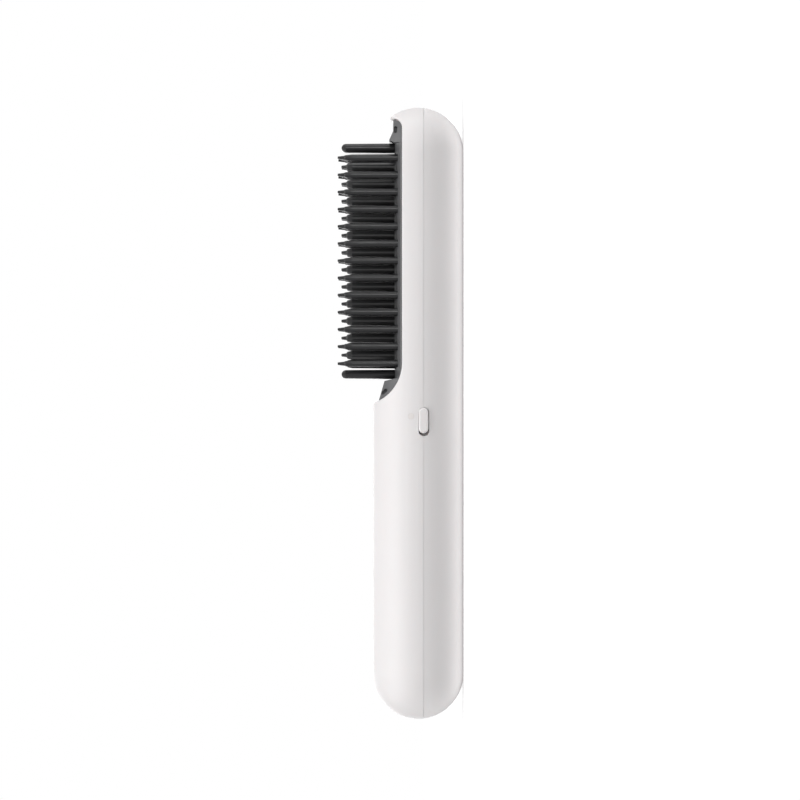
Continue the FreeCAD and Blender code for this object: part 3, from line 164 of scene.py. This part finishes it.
# %% Pieces inside the casing
CHIPS = ("control_chip", "power_transistors", "thermistor")
SWITCH_AND_TONGUE = ("tact_switch", "switch_plunger", "socket_tongue")
INNER_FINISHES = {
    "white_ceramic": ((0.75, 0.72, 0.65), 0.6, ("heater_element",)),
    "flaky_mica": ((0.5, 0.4, 0.26), 0.5, ("mica_sheet",)),
    "dark_carrier": ((0.04, 0.04, 0.042), 0.5, ("inner_frame",)),
    "teal_cell_film": ((0.03, 0.19, 0.22), 0.25, ("battery_cell",)),
    "grey_foam": ((0.06, 0.06, 0.062), 0.9, ("battery_pad",)),
    "green_board": ((0.01, 0.09, 0.03), 0.3, ("main_board", "charge_board")),
    "black_package": ((0.012, 0.012, 0.012), 0.45, CHIPS + SWITCH_AND_TONGUE),
    "dull_ferrite": ((0.05, 0.05, 0.05), 0.6, ("inductor",)),
    "cream_plug": ((0.68, 0.63, 0.48), 0.4, ("battery_connector", "charge_connector")),
    "red_lead": ((0.4, 0.02, 0.015), 0.4, ("battery_leads",)),
    "black_lead": ((0.02, 0.02, 0.02), 0.4, ("charge_leads", "sensor_leads")),
    "white_lead": ((0.7, 0.7, 0.67), 0.45, ("heater_leads",)),
}
for name, (colour, roughness, worn_by) in INNER_FINISHES.items():
    material, _ = finish(name, colour, roughness)
    wear(material, *worn_by)

# %% [markdown]
# ## A white floor
# The object lies on plain white. A curved backdrop could be modelled, but one wide plane is enough:
# nothing shows where it ends, because the world behind it is white too.

# %% Floor
FLOOR_REACH = 3.0
floor_mesh = bpy.data.meshes.new("floor")
shape = bmesh.new()
bmesh.ops.create_grid(shape, x_segments=1, y_segments=1, size=FLOOR_REACH)
shape.to_mesh(floor_mesh)
shape.free()
floor = bpy.data.objects.new("floor", floor_mesh)
bpy.context.scene.collection.objects.link(floor)
print("Floor:", 2 * FLOOR_REACH, "m wide")

# %% [markdown]
# ## Two faces for the floor and the room
# A floor bright enough to look white would throw too much light on the object. So the floor and the
# world each have two faces: one for the camera, for mirrors and for glass, and one for the light.
# The Light Path node picks the face. These small helpers build the node trees for both.

# %% Helpers for the two faces
WHITE = (1.0, 1.0, 1.0, 1.0)


def calculate(tree, operation, first, second):
    """A Math node on a socket and a second socket or number."""
    node = tree.nodes.new("ShaderNodeMath")
    node.operation = operation
    tree.links.new(first, node.inputs[0])
    if isinstance(second, float):
        node.inputs[1].default_value = second
    else:
        tree.links.new(second, node.inputs[1])
    return node.outputs[0]


def seen_white(tree, plain, white):
    """Mixes in a white for the camera, for mirrors and for glass, and leaves the light as it is."""
    path = tree.nodes.new("ShaderNodeLightPath")
    seen = path.outputs["Is Camera Ray"]
    for name in ("Is Glossy Ray", "Is Transmission Ray"):
        seen = calculate(tree, "MAXIMUM", seen, path.outputs[name])
    mix = tree.nodes.new("ShaderNodeMixShader")
    tree.links.new(seen, mix.inputs["Fac"])
    tree.links.new(plain, mix.inputs[1])
    tree.links.new(white, mix.inputs[2])
    return mix.outputs["Shader"]


def glowing(tree, paint, strength):
    """A matt floor of that grey with a glow of its own."""
    matt = tree.nodes.new("ShaderNodeBsdfDiffuse")
    matt.inputs["Color"].default_value = (paint, paint, paint, 1.0)
    shine = tree.nodes.new("ShaderNodeEmission")
    shine.inputs["Color"].default_value = WHITE
    tree.links.new(strength, shine.inputs["Strength"])
    both = tree.nodes.new("ShaderNodeAddShader")
    tree.links.new(matt.outputs["BSDF"], both.inputs[0])
    tree.links.new(shine.outputs["Emission"], both.inputs[1])
    return both.outputs["Shader"]


print("Helpers: calculate, seen_white, glowing")

# %% [markdown]
# ## What the floor does
# To the light it is a pale floor with a brighter strip along the near side, like a card that a
# photographer lays in front to lift the dark underside of a pale object. Under the object and behind
# it the glow is turned down, a painted contact shadow, which leaves a thin dark line along the lower
# edge. To the camera it is white paint with a glow that grows with the distance from the object, so
# the shadow stays close by and the far floor is as white as the room.

# %% The floor's material
CARD_LINE = -12 * MM
CARD_EDGE = (3 * MM, 6 * MM)
CARD_GLOW, PLAIN_GLOW = 0.88, 0.55
# painted contact shadow: the floor's glow for the light falls to this share under and behind the object
PAINTED_SHADE_EDGE, PAINTED_SHADE_SHARE = (-11 * MM, -4.5 * MM), 0.6
LIGHT_PAINT, CAMERA_PAINT = 0.2, 0.8
NEAR, FAR = 0.1, 0.45
NEAR_GLOW, FAR_GLOW = 0.32, 1.0
floor_material = bpy.data.materials.new("white_floor")
floor_material.use_nodes = True
tree = floor_material.node_tree
tree.nodes.remove(tree.nodes["Principled BSDF"])
place = tree.nodes.new("ShaderNodeTexCoord").outputs["Object"]
split = tree.nodes.new("ShaderNodeSeparateXYZ")
tree.links.new(place, split.inputs["Vector"])
across = split.outputs["Y"]
off_card = calculate(tree, "SUBTRACT", across, CARD_LINE)
off_card = calculate(tree, "MAXIMUM", off_card, calculate(tree, "MULTIPLY", off_card, -1.0))
card = map_range(tree, off_card, CARD_EDGE, (CARD_GLOW, PLAIN_GLOW))
# painted contact shadow: the glow for the light is turned down under and behind the object
painted_shade = map_range(tree, across, PAINTED_SHADE_EDGE, (1.0, PAINTED_SHADE_SHARE))
lighting = glowing(tree, LIGHT_PAINT, calculate(tree, "MULTIPLY", card, painted_shade))
from_middle = tree.nodes.new("ShaderNodeVectorMath")
from_middle.operation = "LENGTH"
tree.links.new(place, from_middle.inputs[0])
glow = map_range(tree, from_middle.outputs["Value"], (NEAR, FAR), (NEAR_GLOW, FAR_GLOW))
looks = glowing(tree, CAMERA_PAINT, glow)
surface = seen_white(tree, lighting, looks)
tree.links.new(surface, tree.nodes["Material Output"].inputs["Surface"])
floor_mesh.materials.append(floor_material)
print("Floor nodes:", len(tree.nodes))

# %% [markdown]
# ## The room
# A white room would wash out the shadow, and a black one would leave hard edges. The world gives a
# trace of fill to the light and is plain white to the camera, to mirrors and to glass. Colours go to
# the picture unchanged with the Standard view transform.

# %% World
ROOM_FILL = 0.04
world = bpy.data.worlds.new("white_room")
bpy.context.scene.world = world
world.use_nodes = True
tree = world.node_tree
fill = tree.nodes["Background"]
white = tree.nodes.new("ShaderNodeBackground")
for background, strength in ((fill, ROOM_FILL), (white, 1.0)):
    background.inputs["Color"].default_value = WHITE
    background.inputs["Strength"].default_value = strength
surface = seen_white(tree, fill.outputs["Background"], white.outputs["Background"])
tree.links.new(surface, tree.nodes["World Output"].inputs["Surface"])
bpy.context.scene.view_settings.view_transform = "Standard"
print("World fill:", round(fill.inputs["Strength"].default_value, 3))

# %% [markdown]
# ## The lamps
# One long softbox in front and above lights the top of the casing. Three weak ones round it keep the
# back, the head and the tail from going grey. The glint is a small lamp low in front, towards the
# comb. It is left out of the diffuse light, so the white casing hardly changes, and on the glossy
# teeth it draws their bright lines.

# %% Lamps


def softbox(name, at, aim, size, power):
    """A flat lamp of that length and height that looks from one point at another."""
    lamp = bpy.data.lights.new(name, "AREA")
    lamp.shape = "RECTANGLE"
    lamp.size, lamp.size_y = size
    lamp.energy = power
    lamp_object = bpy.data.objects.new(name, lamp)
    lamp_object.location = at
    lamp_object.rotation_euler = (Vector(aim) - Vector(at)).to_track_quat("-Z", "Y").to_euler()
    bpy.context.scene.collection.objects.link(lamp_object)
    lamp_object.visible_camera = False
    print("Lamp", name, power, "W")
    return lamp_object


softbox("key", (0.06, -0.36, 0.65), (0.0, 0.0, 0.015), (1.8, 0.45), 7.7)
softbox("rear", (-0.05, 0.6, 0.15), (0.0, 0.0, 0.02), (0.7, 0.3), 1.5)
softbox("head", (0.75, -0.1, 0.08), (0.09, 0.0, 0.02), (0.3, 0.3), 1.7)
softbox("tail", (-0.68, -0.1, 0.6), (-0.09, 0.0, 0.02), (0.3, 0.3), 1.7)
glint = softbox("glint", (0.46, -1.1, 0.05), (0.06, 0.0, 0.03), (0.12, 0.12), 4.0)
glint.visible_diffuse = False

# %% [markdown]
# ## The camera
# The photograph looks straight at the side with almost no perspective. The comb's end is at the top
# and the teeth point to the left, so the camera looks along Y from far off and is rolled a quarter
# turn. An orthographic camera would hide the small depth between the columns of teeth. One pixel of
# the photograph covers a known width, and that sets the lens.

# %% Camera
PIXEL = 0.3377 * MM  # what one pixel of the photograph covers
PICTURE = 800
MIDDLE = Vector((4.44 * MM, 0.0, 21.38 * MM))
DISTANCE = 2.0
ROLLED = Matrix(((0, 1, 0), (0, 0, -1), (-1, 0, 0)))
camera_data = bpy.data.cameras.new("camera")
camera_data.lens = camera_data.sensor_width * DISTANCE / (PIXEL * PICTURE)
camera = bpy.data.objects.new("camera", camera_data)
camera.matrix_world = Matrix.Translation(MIDDLE - Vector((0, DISTANCE, 0))) @ ROLLED.to_4x4()
bpy.context.scene.collection.objects.link(camera)
bpy.context.scene.camera = camera
print("Lens:", round(camera_data.lens, 1), "mm")
